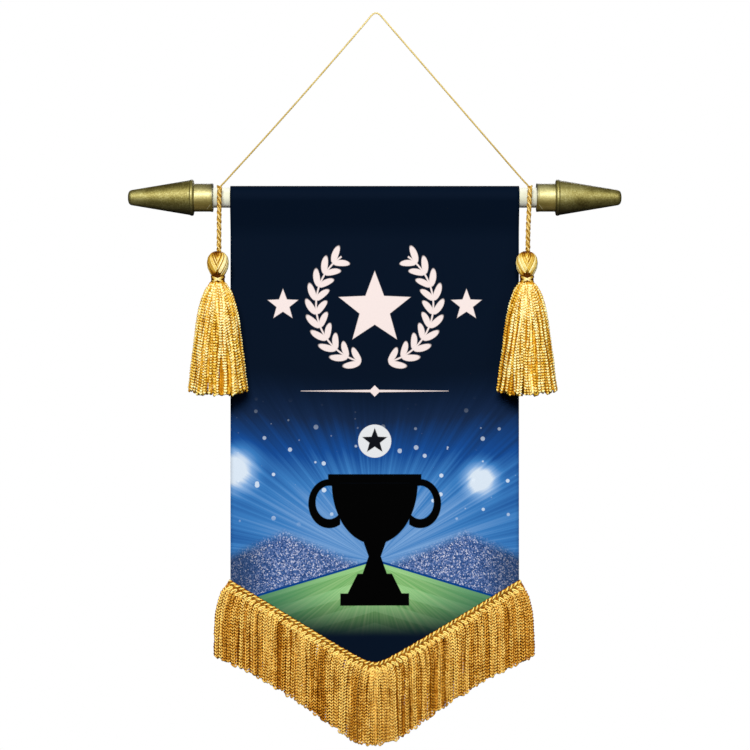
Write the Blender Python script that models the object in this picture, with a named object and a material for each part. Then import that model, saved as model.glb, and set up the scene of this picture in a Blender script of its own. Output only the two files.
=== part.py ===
# Podium banner: a printed cloth with a pointed lower end and a gold fringe, hung by its
# sleeve from a capped rod, with a twisted hanging cord and two tassels in front.
# Metres, +Z up. The origin is the hook point, under the top of the hanging cord.
# X runs along the rod, and the banner's face looks towards -Y.

import math

import bmesh
import bpy
from mathutils import Vector

GAP = 0.0003  # between pieces that touch

# Rod and its end caps, as distances from the banner's centre line
ROD_AXIS_Z = -0.1951
ROD_RADIUS = 0.01065
ROD_HALF_LENGTH = 0.2007
ROD_SIDES = 40
COLLAR_START = 0.1708
COLLAR_END = 0.1908
COLLAR_RADIUS = 0.0148
SOCKET_RADIUS = ROD_RADIUS + GAP
LIP_RADIUS = 0.0192
LIP_END = 0.1950
CONE_RADIUS = 0.0185
NOSE_START = 0.2565
NOSE_END = 0.2610
NOSE_RADIUS = 0.0082
CAP_SIDES = 32

# Cloth, cut to a point, with a sleeve turned over to the back and sewn below the rod
CLOTH_WIDTH = 0.305
CLOTH_THICKNESS = 0.0016
CLOTH_CORNER_Z = -0.6057
CLOTH_POINT_Z = -0.6927
POINT_ROUNDING = 0.010
SLEEVE_EASE = 0.0005
SEAM_DROP = 0.036
SEAM_SOFTNESS = 0.009
HEM_LENGTH = 0.010
HEM_GAP = 0.0004
SWAY = 0.0014
CLOTH_COLUMNS = 18
CLOTH_ROWS = 14

# Fringe, sewn on the front along the pointed edge
FRINGE_WIDTH = 0.3065
HEADER_RISE = 0.0069  # of the header's upper line above the cloth's cut edge
HEADER_HEIGHT = 0.0092
HEADER_THICKNESS = 0.0026
STRAND_SHARE = 0.75  # of the header's thickness
FRINGE_DROP = 0.083
CENTRE_EXTRA = 0.0065
CENTRE_REACH = 0.060
FLARE = 0.0170
FLARE_REACH = 0.014
FLARE_RISE = 0.016
TOOTH_COUNT = 36
SLOT_WIDTH = 0.0010
SLOT_TOP = 0.034
RAGGED = 0.0016

# Cords
HANGER_DIAMETER = 0.0023
TASSEL_CORD_DIAMETER = 0.0055
RUN_STEP = 0.0095
# From the hook point down to the rod: x outwards, y, z from the hook point
HANGER_RUN = [
    (0.00000, 0.0000, 0.00115),
    (0.00219, 0.0000, 0.00066),
    (0.00400, -0.0001, -0.00068),
    (0.01200, -0.0001, -0.00990),
    (0.03500, -0.0001, -0.03640),
    (0.08000, -0.0001, -0.08830),
    (0.12500, -0.0002, -0.14020),
    (0.15000, -0.0003, -0.16900),
]
# Round the rod and back beside itself: x outwards, y, z from the rod's axis
HANGER_WRAP = [
    (0.15850, -0.0008, 0.01650),
    (0.16130, -0.0032, 0.01340),
    (0.16260, -0.0075, 0.01035),
    (0.16320, -0.0109, 0.00625),
    (0.16330, -0.0125, 0.00000),
    (0.16330, -0.0108, -0.00630),
    (0.16340, -0.0063, -0.01090),
    (0.16360, 0.0000, -0.01255),
    (0.16380, 0.0064, -0.01090),
    (0.16410, 0.0109, -0.00630),
    (0.16440, 0.0125, 0.00000),
    (0.16490, 0.0108, 0.00635),
    (0.16540, 0.0063, 0.01090),
    (0.16580, 0.0004, 0.01255),
    (0.16610, -0.0039, 0.01205),
]
# From the tassel's head up the rod's front: y, z from the rod's axis
TASSEL_CORD_Y = -0.0168
TASSEL_CORD_ROUTE = [
    (TASSEL_CORD_Y, -0.0578),
    (TASSEL_CORD_Y, -0.0440),
    (TASSEL_CORD_Y, -0.0300),
    (TASSEL_CORD_Y, -0.0160),
    (TASSEL_CORD_Y, -0.0040),
    (-0.0167, 0.0030),
    (-0.0159, 0.0075),
    (-0.0143, 0.0108),
]

# Tassels
TASSEL_X = 0.1633
HEAD_TOP_Z = -0.2532
HEAD_HEIGHT = 0.0245
HEAD_RADIUS = 0.01165
HEAD_SIDES = 24
BINDING_RADIUS = 0.0088
BINDING_TOP_Z = HEAD_TOP_Z - HEAD_HEIGHT - GAP
BINDING_HEIGHT = 0.0083
NECK_RADIUS = 0.0062
SKIRT_TOP_Z = BINDING_TOP_Z - BINDING_HEIGHT - GAP
SKIRT_DEPTH_SHARE = 0.72  # of its half width, where nothing holds it back
SKIRT_CLEARANCE = 0.002  # to the cloth's face
SKIRT_FLUTE = 0.03
SKIRT_SIDES = 32
# Depth below the skirt's top, and half width there
SKIRT_SECTIONS = [
    (0.0000, 0.0092),
    (0.0022, 0.0112),
    (0.0064, 0.0148),
    (0.0170, 0.0186),
    (0.0275, 0.0211),
    (0.0380, 0.0228),
    (0.0590, 0.0255),
    (0.0800, 0.0286),
    (0.1010, 0.0312),
    (0.1095, 0.0328),
    (0.1150, 0.0318),
    (0.1180, 0.0270),
]
SKIRT_END = 0.1190


def clear_scene():
    for old in list(bpy.data.objects):
        bpy.data.objects.remove(old, do_unlink=True)


def make_material(name, colour, roughness, metallic=0.0):
    material = bpy.data.materials.new(name)
    material.use_nodes = True
    shader = material.node_tree.nodes["Principled BSDF"]
    shader.inputs["Base Color"].default_value = (*colour, 1.0)
    shader.inputs["Roughness"].default_value = roughness
    shader.inputs["Metallic"].default_value = metallic
    material.diffuse_color = (*colour, 1.0)
    return material


def add_object(name, data, material):
    piece = bpy.data.objects.new(name, data)
    bpy.context.scene.collection.objects.link(piece)
    data.materials.append(material)
    return piece


def finish_mesh(name, shape, material, smooth_angle=40.0):
    bmesh.ops.remove_doubles(shape, verts=shape.verts, dist=1e-6)
    bmesh.ops.recalc_face_normals(shape, faces=shape.faces)
    mesh = bpy.data.meshes.new(name)
    shape.to_mesh(mesh)
    shape.free()
    mesh.shade_smooth()
    mesh.set_sharp_from_angle(angle=math.radians(smooth_angle))
    return add_object(name, mesh, material)


def turned_piece(name, profile, axis, centre, sides, material):
    # profile: (distance along the axis, radius), spun once round the axis
    along = Vector(axis)
    across = Vector((0, 0, 1)) if axis[2] == 0 else Vector((1, 0, 0))
    shape = bmesh.new()
    points = [shape.verts.new(Vector(centre) + along * d + across * r) for d, r in profile]
    edges = [shape.edges.new(pair) for pair in zip(points, points[1:])]
    if min(profile[0][1], profile[-1][1]) > 0:
        edges.append(shape.edges.new((points[-1], points[0])))
    bmesh.ops.spin(
        shape, geom=points + edges, cent=centre, axis=along, angle=math.tau, steps=sides, use_merge=True
    )
    return finish_mesh(name, shape, material)


def smooth_route(points, step):
    # A centripetal Catmull-Rom curve through the points, with long spans divided by the step
    points = [Vector(p) for p in points]
    padded = [2 * points[0] - points[1], *points, 2 * points[-1] - points[-2]]
    route = []
    for before, start, end, after in zip(padded, padded[1:], padded[2:], padded[3:]):
        t1 = (start - before).length ** 0.5
        t2 = t1 + (end - start).length ** 0.5
        t3 = t2 + (after - end).length ** 0.5
        pieces = max(1, round((end - start).length / step))
        for i in range(pieces):
            t = t1 + (t2 - t1) * i / pieces
            a = before.lerp(start, t / t1)
            b = start.lerp(end, (t - t1) / (t2 - t1))
            c = end.lerp(after, (t - t2) / (t3 - t2))
            route.append(a.lerp(b, t / t2).lerp(b.lerp(c, (t - t1) / (t3 - t1)), (t - t1) / (t2 - t1)))
    return [*route, points[-1]]


def cord_piece(name, route, diameter, material):
    curve = bpy.data.curves.new(name, "CURVE")
    curve.dimensions = "3D"
    curve.bevel_depth = diameter / 2
    curve.bevel_resolution = 2
    curve.use_fill_caps = True
    spline = curve.splines.new("POLY")
    spline.points.add(len(route) - 1)
    for point, place in zip(spline.points, route):
        point.co = (*place, 1.0)
    spline.use_smooth = True
    return add_object(name, curve, material)


def cloth_edge_z(x):
    # The pointed lower edge, softly rounded at the middle
    half = CLOTH_WIDTH / 2
    reach = math.hypot(half, POINT_ROUNDING) - POINT_ROUNDING
    rise = (CLOTH_CORNER_Z - CLOTH_POINT_Z) / reach
    return CLOTH_POINT_Z + rise * (math.hypot(x, POINT_ROUNDING) - POINT_ROUNDING)


def cloth_sway(x, z):
    # Slight waves of the hanging cloth, growing towards its free end
    depth = max(0.0, (ROD_AXIS_Z - SEAM_DROP - z) / 0.45)
    wave = math.sin(math.tau * x / 0.21 + 0.7) + 0.5 * math.sin(math.tau * x / 0.11 - 1.1 + 2.0 * depth)
    return SWAY * depth**1.5 * wave


def sleeve_profile():
    # y and z of the sleeve's middle surface, from the hem at the back, over the rod, to the front
    ring = ROD_RADIUS + SLEEVE_EASE + CLOTH_THICKNESS / 2
    lean = math.asin(ring / SEAM_DROP)
    seam_z = ROD_AXIS_Z - SEAM_DROP
    hem_y = CLOTH_THICKNESS + HEM_GAP
    profile = [(hem_y, seam_z - HEM_LENGTH), (hem_y, seam_z - HEM_LENGTH * 0.4), (hem_y + 0.0001, seam_z)]
    arc = []
    arc_steps = 12
    for i in range(arc_steps + 1):
        angle = -lean + (math.pi + 2 * lean) * i / arc_steps
        arc.append((ring * math.cos(angle), ROD_AXIS_Z + ring * math.sin(angle)))
    back, front = arc[0], arc[-1]
    for share in (0.33, 0.66):
        profile.append((hem_y + (back[0] - hem_y) * share, seam_z + (back[1] - seam_z) * share))
    profile += arc
    soft = SEAM_SOFTNESS / (front[1] - seam_z)
    start = Vector((front[0] * soft, seam_z + SEAM_SOFTNESS))
    turn = Vector((0, seam_z))
    end = Vector((0, seam_z - SEAM_SOFTNESS))
    profile.append(tuple(start.lerp(Vector(front), 0.5)))
    for t in (0.0, 0.33, 0.67, 1.0):
        profile.append(tuple(start.lerp(turn, t).lerp(turn.lerp(end, t), t)))
    return profile


def banner_panel(material):
    sleeve = sleeve_profile()
    flat_top = sleeve[-1][1]
    shape = bmesh.new()
    bmesh.ops.create_grid(shape, x_segments=CLOTH_COLUMNS, y_segments=len(sleeve) - 1 + CLOTH_ROWS, size=0.5)
    for vert in shape.verts:
        x = vert.co.x * CLOTH_WIDTH
        row = round((vert.co.y + 0.5) * (len(sleeve) - 1 + CLOTH_ROWS))
        if row < len(sleeve):
            y, z = sleeve[row]
        else:
            share = (row - len(sleeve) + 1) / CLOTH_ROWS
            z = flat_top + (cloth_edge_z(x) - flat_top) * share
            y = 0.0
        vert.co = (x, y + cloth_sway(x, z), z)
    panel = finish_mesh("banner_panel", shape, material)
    sheet = panel.modifiers.new("Cloth thickness", "SOLIDIFY")
    sheet.thickness = CLOTH_THICKNESS
    sheet.offset = 0.0
    sheet.use_even_offset = True
    return panel


def fringe_place(x_top, drop):
    # Where a point of the fringe hangs, from its place along the header and its drop below the header's top
    side = math.copysign(1.0, x_top)
    inset = FRINGE_WIDTH / 2 - abs(x_top)
    flare = FLARE * math.exp(-inset / FLARE_REACH) * (1 - math.exp(-drop / FLARE_RISE))
    z = cloth_edge_z(x_top) + HEADER_RISE - drop
    clear = CLOTH_THICKNESS / 2 + GAP + HEADER_THICKNESS / 2
    y = cloth_sway(x_top, max(z, cloth_edge_z(x_top))) - clear
    return Vector((x_top + side * flare, y, z))


def fringe(material):
    # One comb: a header, strands that hang together, then teeth with slots between them
    pitch = FRINGE_WIDTH / TOOTH_COUNT
    stations = []
    for tooth in range(TOOTH_COUNT):
        left = -FRINGE_WIDTH / 2 + tooth * pitch
        stations += [left + (SLOT_WIDTH / 2 if tooth else 0), left + pitch - SLOT_WIDTH / 2]
    stations[-1] = FRINGE_WIDTH / 2
    drops = [0.0, HEADER_HEIGHT, HEADER_HEIGHT + 0.003, 0.022, SLOT_TOP, 0.058]
    shape = bmesh.new()
    thick = shape.verts.layers.deform.verify()
    columns = []
    for index, x_top in enumerate(stations):
        tooth = index // 2
        ragged = RAGGED * math.sin(2.4 * tooth)
        length = FRINGE_DROP + CENTRE_EXTRA * math.exp(-((x_top / CENTRE_REACH) ** 2)) + ragged
        column = []
        for row, drop in enumerate([*drops, length]):
            place = fringe_place(x_top, drop)
            place.y += 0.0004 * math.sin(3.0 * tooth) * max(0.0, drop - SLOT_TOP) / 0.05
            vert = shape.verts.new(place)
            vert[thick][0] = 1.0 if row < 2 else STRAND_SHARE
            column.append(vert)
        columns.append(column)
    slot_row = drops.index(SLOT_TOP)
    for index, (left, right) in enumerate(zip(columns, columns[1:])):
        rows = len(left) - 1 if index % 2 == 0 else slot_row
        for row in range(rows):
            shape.faces.new((left[row], left[row + 1], right[row + 1], right[row]))
    mesh = bpy.data.meshes.new("fringe")
    shape.to_mesh(mesh)
    shape.free()
    comb = add_object("fringe", mesh, material)
    comb.vertex_groups.new(name="thickness")
    body = comb.modifiers.new("Strand thickness", "SOLIDIFY")
    body.thickness = HEADER_THICKNESS
    body.offset = 0.0
    body.use_even_offset = True
    body.vertex_group = "thickness"
    return comb


def rod(material):
    bevel = 0.0008
    profile = [
        (-ROD_HALF_LENGTH, 0.0),
        (-ROD_HALF_LENGTH, ROD_RADIUS - bevel),
        (-ROD_HALF_LENGTH + bevel, ROD_RADIUS),
        (ROD_HALF_LENGTH - bevel, ROD_RADIUS),
        (ROD_HALF_LENGTH, ROD_RADIUS - bevel),
        (ROD_HALF_LENGTH, 0.0),
    ]
    return turned_piece("rod", profile, (1, 0, 0), (0, 0, ROD_AXIS_Z), ROD_SIDES, material)


def cap(name, side, material):
    # A collar with a blind socket for the rod, a lip ring, and a cone to a rounded nose
    socket_end = ROD_HALF_LENGTH + GAP
    profile = [
        (socket_end, 0.0),
        (socket_end, SOCKET_RADIUS),
        (COLLAR_START + 0.0010, SOCKET_RADIUS),
        (COLLAR_START, SOCKET_RADIUS + 0.0008),
        (COLLAR_START, COLLAR_RADIUS - 0.0004),
        (COLLAR_START + 0.0006, COLLAR_RADIUS + 0.0003),
        (COLLAR_START + 0.0018, COLLAR_RADIUS + 0.0002),
        (COLLAR_START + 0.0026, COLLAR_RADIUS),
        (COLLAR_END - 0.0006, COLLAR_RADIUS),
        (COLLAR_END + 0.0004, COLLAR_RADIUS + 0.0008),
        (COLLAR_END + 0.0008, LIP_RADIUS - 0.0014),
        (COLLAR_END + 0.0016, LIP_RADIUS - 0.0002),
        (LIP_END - 0.0022, LIP_RADIUS),
        (LIP_END - 0.0010, LIP_RADIUS - 0.0003),
        (LIP_END, CONE_RADIUS),
        (NOSE_START, NOSE_RADIUS),
        (NOSE_START + 0.0018, NOSE_RADIUS - 0.0006),
        (NOSE_END - 0.0014, NOSE_RADIUS - 0.0024),
        (NOSE_END - 0.0003, NOSE_RADIUS - 0.0052),
        (NOSE_END, 0.0),
    ]
    return turned_piece(name, profile, (side, 0, 0), (0, 0, ROD_AXIS_Z), CAP_SIDES, material)


def hanger_cord(material):
    half = smooth_route(
        [*HANGER_RUN, *((x, y, z + ROD_AXIS_Z) for x, y, z in HANGER_WRAP)], RUN_STEP
    )
    other = [Vector((-place.x, place.y, place.z)) for place in half[:0:-1]]
    return cord_piece("hanger_cord", [*other, *half], HANGER_DIAMETER, material)


def tassel_cord(name, side, material):
    route = [(side * TASSEL_X, y, z + ROD_AXIS_Z) for y, z in TASSEL_CORD_ROUTE]
    return cord_piece(name, smooth_route(route, RUN_STEP), TASSEL_CORD_DIAMETER, material)


def tassel_head(name, side, material):
    profile = [
        (0.0, 0.0),
        (0.0, 0.0036),
        (0.0016, 0.0076),
        (0.0056, 0.0106),
        (0.0112, HEAD_RADIUS),
        (0.0170, 0.0110),
        (0.0214, 0.0094),
        (HEAD_HEIGHT, 0.0080),
        (HEAD_HEIGHT, 0.0),
    ]
    centre = (side * TASSEL_X, TASSEL_CORD_Y, HEAD_TOP_Z)
    return turned_piece(name, profile, (0, 0, -1), centre, HEAD_SIDES, material)


def tassel_binding(name, side, material):
    inner = NECK_RADIUS + GAP
    bulge = 0.0012
    profile = [
        (0.0, inner),
        (0.0, BINDING_RADIUS - bulge),
        (BINDING_HEIGHT * 0.2, BINDING_RADIUS - bulge * 0.3),
        (BINDING_HEIGHT * 0.5, BINDING_RADIUS),
        (BINDING_HEIGHT * 0.8, BINDING_RADIUS - bulge * 0.3),
        (BINDING_HEIGHT, BINDING_RADIUS - bulge),
        (BINDING_HEIGHT, inner),
    ]
    centre = (side * TASSEL_X, TASSEL_CORD_Y, BINDING_TOP_Z)
    return turned_piece(name, profile, (0, 0, -1), centre, HEAD_SIDES, material)


def skirt_ring(shape, side, z, half_width, flute):
    # A round section, pressed flat at the back where the cloth holds it off
    back_limit = -TASSEL_CORD_Y - CLOTH_THICKNESS / 2 - SKIRT_CLEARANCE
    front = half_width * (SKIRT_DEPTH_SHARE if flute else 1.0)
    back = min(front, back_limit)
    ring = []
    for i in range(SKIRT_SIDES):
        angle = math.tau * i / SKIRT_SIDES
        lobe = 1 + flute * math.cos(math.pi * i) - flute
        x = side * TASSEL_X + half_width * lobe * math.cos(angle)
        depth = back if math.sin(angle) > 0 else front
        ring.append(shape.verts.new((x, TASSEL_CORD_Y + depth * lobe * math.sin(angle), z)))
    return ring


def tassel_skirt(name, side, material):
    # The neck inside the binding, then the flared skirt, one bundle of strands
    shape = bmesh.new()
    rings = [
        skirt_ring(shape, side, BINDING_TOP_Z, NECK_RADIUS, 0.0),
        skirt_ring(shape, side, SKIRT_TOP_Z, NECK_RADIUS, 0.0),
    ]
    for depth, half_width in SKIRT_SECTIONS:
        rings.append(skirt_ring(shape, side, SKIRT_TOP_Z - depth - 0.0001, half_width, SKIRT_FLUTE))
    for upper, lower in zip(rings, rings[1:]):
        for i in range(SKIRT_SIDES):
            j = (i + 1) % SKIRT_SIDES
            shape.faces.new((upper[i], upper[j], lower[j], lower[i]))
    shape.faces.new(rings[0])
    middle = shape.verts.new((side * TASSEL_X, TASSEL_CORD_Y - 0.002, SKIRT_TOP_Z - SKIRT_END))
    for i in range(SKIRT_SIDES):
        shape.faces.new((rings[-1][i], rings[-1][(i + 1) % SKIRT_SIDES], middle))
    return finish_mesh(name, shape, material)


def build():
    clear_scene()
    printed_cloth = make_material("printed cloth", (0.004, 0.012, 0.03), 0.8)
    gold_yarn = make_material("gold yarn", (0.62, 0.36, 0.07), 0.6)
    cream_rod = make_material("cream rod", (0.80, 0.79, 0.64), 0.45)
    bronze_cap = make_material("bronze cap", (0.23, 0.18, 0.05), 0.35, 0.6)
    banner_panel(printed_cloth)
    fringe(gold_yarn)
    rod(cream_rod)
    hanger_cord(gold_yarn)
    for word, side in (("left", -1), ("right", 1)):
        cap(f"cap_{word}", side, bronze_cap)
        tassel_cord(f"tassel_cord_{word}", side, gold_yarn)
        tassel_head(f"tassel_head_{word}", side, gold_yarn)
        tassel_binding(f"tassel_binding_{word}", side, gold_yarn)
        tassel_skirt(f"tassel_skirt_{word}", side, gold_yarn)


build()
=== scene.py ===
import math
import random

import bmesh
import bpy
import numpy as np
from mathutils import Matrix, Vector


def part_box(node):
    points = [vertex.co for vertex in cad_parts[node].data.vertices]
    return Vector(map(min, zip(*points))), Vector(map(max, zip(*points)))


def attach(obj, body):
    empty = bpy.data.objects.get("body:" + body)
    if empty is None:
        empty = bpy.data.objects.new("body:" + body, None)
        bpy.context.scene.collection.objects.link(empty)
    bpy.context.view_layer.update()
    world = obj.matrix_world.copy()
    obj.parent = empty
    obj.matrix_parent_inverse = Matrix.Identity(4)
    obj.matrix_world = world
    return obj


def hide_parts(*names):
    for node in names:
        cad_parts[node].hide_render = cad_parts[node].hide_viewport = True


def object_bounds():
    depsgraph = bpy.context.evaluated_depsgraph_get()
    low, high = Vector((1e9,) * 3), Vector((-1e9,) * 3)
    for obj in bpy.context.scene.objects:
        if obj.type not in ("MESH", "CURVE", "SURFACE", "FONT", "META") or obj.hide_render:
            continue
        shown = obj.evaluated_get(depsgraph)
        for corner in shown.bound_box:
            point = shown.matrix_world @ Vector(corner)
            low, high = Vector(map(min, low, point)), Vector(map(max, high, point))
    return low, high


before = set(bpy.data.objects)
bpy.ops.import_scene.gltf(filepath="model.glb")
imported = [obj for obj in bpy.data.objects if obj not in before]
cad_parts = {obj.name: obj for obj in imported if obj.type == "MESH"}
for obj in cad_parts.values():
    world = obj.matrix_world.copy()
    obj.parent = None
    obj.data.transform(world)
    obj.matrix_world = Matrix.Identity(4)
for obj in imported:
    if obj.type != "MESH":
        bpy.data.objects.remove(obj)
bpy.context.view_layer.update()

scene = bpy.context.scene


# nodes, in shader and geometry trees alike
def arithmetic(operation, swapped=False):
    def apply(self, other):
        values = (other, self) if swapped else (self, other)
        return self.graph.maths(operation, *values)
    return apply


class Field:  # a node's output, with plain arithmetic on it
    def __init__(self, graph, socket):
        self.graph = graph
        self.socket = socket

    __add__ = arithmetic("ADD")
    __radd__ = arithmetic("ADD", True)
    __sub__ = arithmetic("SUBTRACT")
    __rsub__ = arithmetic("SUBTRACT", True)
    __mul__ = arithmetic("MULTIPLY")
    __rmul__ = arithmetic("MULTIPLY", True)
    __truediv__ = arithmetic("DIVIDE")

    def __neg__(self):
        return self * -1.0

    def __abs__(self):
        return self.graph.maths("ABSOLUTE", self)


class Graph:  # adds nodes to one tree and wires them up
    def __init__(self, tree):
        self.tree = tree

    def feed(self, socket, value):
        if isinstance(value, Field):
            self.tree.links.new(value.socket, socket)
        elif isinstance(value, bpy.types.NodeSocket):
            self.tree.links.new(value, socket)
        else:
            socket.default_value = value

    def add(self, kind, inputs=None, **settings):
        node = self.tree.nodes.new(kind)
        for name, value in settings.items():
            setattr(node, name, value)
        for name, value in (inputs or {}).items():
            self.feed(node.inputs[name], value)
        return node

    def out(self, kind, inputs=None, output=0, **settings):
        return Field(self, self.add(kind, inputs, **settings).outputs[output])

    def maths(self, operation, *values):
        return self.out("ShaderNodeMath", dict(enumerate(values)), operation=operation)

    def vectors(self, operation, *values, output=0):
        return self.out("ShaderNodeVectorMath", dict(enumerate(values)), output, operation=operation)

    def distance(self, across, up):
        return self.maths("SQRT", across * across + up * up)

    def scaled(self, vector, factor):
        return self.out("ShaderNodeVectorMath", {0: vector, "Scale": factor}, operation="SCALE")

    def joined(self, **parts):
        return self.out("ShaderNodeCombineXYZ", parts)

    def stored(self, name, kind="FLOAT"):
        return self.out("GeometryNodeInputNamedAttribute", {"Name": name}, "Attribute", data_type=kind)

    def store(self, geometry, name, value, kind="FLOAT"):
        inputs = {"Geometry": geometry, "Name": name, "Value": value}
        return self.out("GeometryNodeStoreNamedAttribute", inputs, data_type=kind, domain="POINT")

    def ease(self, value, low, high, start=0.0, end=1.0):  # smooth step from start to end
        inputs = {"Value": value, "From Min": low, "From Max": high, "To Min": start, "To Max": end}
        return self.out("ShaderNodeMapRange", inputs, interpolation_type="SMOOTHSTEP")

    def mix(self, share, first, second, blend="MIX"):
        node = self.add("ShaderNodeMix", data_type="RGBA", blend_type=blend)
        for index, value in ((0, share), (6, first), (7, second)):
            self.feed(node.inputs[index], value)
        return Field(self, node.outputs[2])

    def ramp(self, share, *stops):
        node = self.add("ShaderNodeValToRGB", {"Fac": share})
        elements = node.color_ramp.elements
        while len(elements) < len(stops):
            elements.new(0.5)
        for element, (place, colour) in zip(elements, stops):
            element.position = place
            element.color = (*colour, 1.0)
        return Field(self, node.outputs["Color"])

    def split(self, vector):
        node = self.add("ShaderNodeSeparateXYZ", {0: vector})
        return [Field(self, socket) for socket in node.outputs]

    def noise(self, vector, scale, detail=2.0, roughness=0.5, output="Fac"):
        inputs = {"Vector": vector, "Scale": scale, "Detail": detail, "Roughness": roughness}
        return self.out("ShaderNodeTexNoise", inputs, output)


def newMaterial(name, roughness, metallic=0.0, **sockets):
    material = bpy.data.materials.new(name)
    material.use_nodes = True
    shader = material.node_tree.nodes["Principled BSDF"]
    shader.inputs["Roughness"].default_value = roughness
    shader.inputs["Metallic"].default_value = metallic
    for socket, value in sockets.items():
        shader.inputs[socket.replace("_", " ")].default_value = value
    return material, Graph(material.node_tree), shader


def addBump(graph, shader, height, distance, strength=1.0):
    bump = graph.out("ShaderNodeBump", {"Height": height, "Distance": distance, "Strength": strength})
    graph.feed(shader.inputs["Normal"], bump)


# objects and meshes
def addObject(name, data, material=None):
    made = bpy.data.objects.new(name, data)
    scene.collection.objects.link(made)
    if material:
        data.materials.append(material)
    return made


def shapeMesh(name, shape):
    mesh = bpy.data.meshes.new(name)
    shape.to_mesh(mesh)
    shape.free()
    return mesh


def fitPiece(piece, node):
    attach(piece, "root")
    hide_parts(node)


def turnedPiece(name, profile, axis, centre, sides, material):
    along = Vector(axis)
    across = Vector((0, 0, 1)) if axis[2] == 0 else Vector((1, 0, 0))
    shape = bmesh.new()
    points = [shape.verts.new(Vector(centre) + along * d + across * r) for d, r in profile]
    edges = [shape.edges.new(pair) for pair in zip(points, points[1:])]
    if min(profile[0][1], profile[-1][1]) > 0:
        edges.append(shape.edges.new((points[-1], points[0])))
    bmesh.ops.spin(
        shape, geom=points + edges, cent=centre, axis=along, angle=math.tau, steps=sides, use_merge=True
    )
    bmesh.ops.remove_doubles(shape, verts=shape.verts, dist=1e-6)
    bmesh.ops.recalc_face_normals(shape, faces=shape.faces)
    mesh = shapeMesh(name, shape)
    mesh.shade_smooth()
    mesh.set_sharp_from_angle(angle=math.radians(50))
    return addObject(name, mesh, material)


def roundedProfile(corners, steps=5):
    # (distance, radius, fillet) corners into a profile with rounded corners
    profile = []
    for index, (d, r, fillet) in enumerate(corners):
        here = Vector((d, r))
        if fillet == 0 or index in (0, len(corners) - 1):
            profile.append((d, r))
            continue
        before = (Vector(corners[index - 1][:2]) - here).normalized() * fillet
        after = (Vector(corners[index + 1][:2]) - here).normalized() * fillet
        for i in range(steps + 1):
            t = i / steps
            point = here + before * (1 - t) ** 2 + after * t**2
            profile.append((point.x, point.y))
    return profile


def facingAt(angle):  # 0 faces the front
    return math.sin(angle), -math.cos(angle), 0


def guideMesh(name, guides):
    # lines for the geometry nodes to follow: each a list of points, a facing direction and a tone
    points, edges, facings, tones = [], [], [], []
    for line, facing, tone in guides:
        start = len(points)
        points += [tuple(point) for point in line]
        edges += [(start + i, start + i + 1) for i in range(len(line) - 1)]
        faced = facing if isinstance(facing, list) else [facing] * len(line)
        facings += [tuple(direction) for direction in faced]
        tones += tone if isinstance(tone, list) else [tone] * len(line)
    mesh = bpy.data.meshes.new(name)
    mesh.from_pydata(points, edges, [])
    facingData = mesh.attributes.new("facing", "FLOAT_VECTOR", "POINT")
    facingData.data.foreach_set("vector", np.array(facings, np.float32).ravel())
    toneData = mesh.attributes.new("tone", "FLOAT", "POINT")
    toneData.data.foreach_set("value", np.array(tones, np.float32))
    return addObject(name, mesh)


def newTree(name, **sockets):
    # an empty tree with a geometry going in and out, and the named values, by their kind
    tree = bpy.data.node_groups.new(name, "GeometryNodeTree")
    tree.interface.new_socket("Geometry", in_out="OUTPUT", socket_type="NodeSocketGeometry")
    for kind, names in {"Geometry": "Geometry", **sockets}.items():
        for socket in names.split(", "):
            tree.interface.new_socket(socket, in_out="INPUT", socket_type=f"NodeSocket{kind}")
    graph = Graph(tree)
    given = {socket.name: Field(graph, socket) for socket in tree.nodes.new("NodeGroupInput").outputs}
    return tree, graph, given


def endTree(graph, geometry, material):
    realized = graph.out("GeometryNodeRealizeInstances", {"Geometry": geometry})
    painted = graph.out("GeometryNodeSetMaterial", {"Geometry": realized, "Material": material})
    end = graph.tree.nodes.new("NodeGroupOutput")
    graph.feed(end.inputs[0], painted)


def grow(guide, tree, values, name):
    # runs the tree on the guide and keeps the result as a plain mesh
    modifier = guide.modifiers.new(tree.name, "NODES")
    modifier.node_group = tree
    for item in tree.interface.items_tree:
        if item.in_out == "INPUT" and item.name in values:
            modifier[item.identifier] = values[item.name]
    bpy.context.view_layer.update()
    evaluated = guide.evaluated_get(bpy.context.evaluated_depsgraph_get())
    mesh = bpy.data.meshes.new_from_object(evaluated)
    mesh.name = name
    guideData = guide.data
    bpy.data.objects.remove(guide)
    bpy.data.meshes.remove(guideData)
    mesh.shade_smooth()
    return addObject(name, mesh)


def layStrands(graph, curve, count, offset, turn):
    # copies of a curve wound round it, like the plies of a rope
    copied = {"Geometry": curve, "Amount": count}
    copies = graph.add("GeometryNodeDuplicateElements", copied, domain="SPLINE").outputs
    along = graph.out("GeometryNodeSplineParameter", output="Length")
    share = Field(graph, copies["Duplicate Index"]) / count
    angle = (along / turn + share) * math.tau
    normal = graph.out("GeometryNodeInputNormal")
    side = graph.vectors("CROSS_PRODUCT", graph.out("GeometryNodeInputTangent"), normal)
    outward = graph.scaled(normal, graph.maths("COSINE", angle))
    sideways = graph.scaled(side, graph.maths("SINE", angle))
    push = graph.scaled(graph.vectors("ADD", outward, sideways), offset)
    return graph.out("GeometryNodeSetPosition", {"Geometry": copies["Geometry"], "Offset": push})


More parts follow.
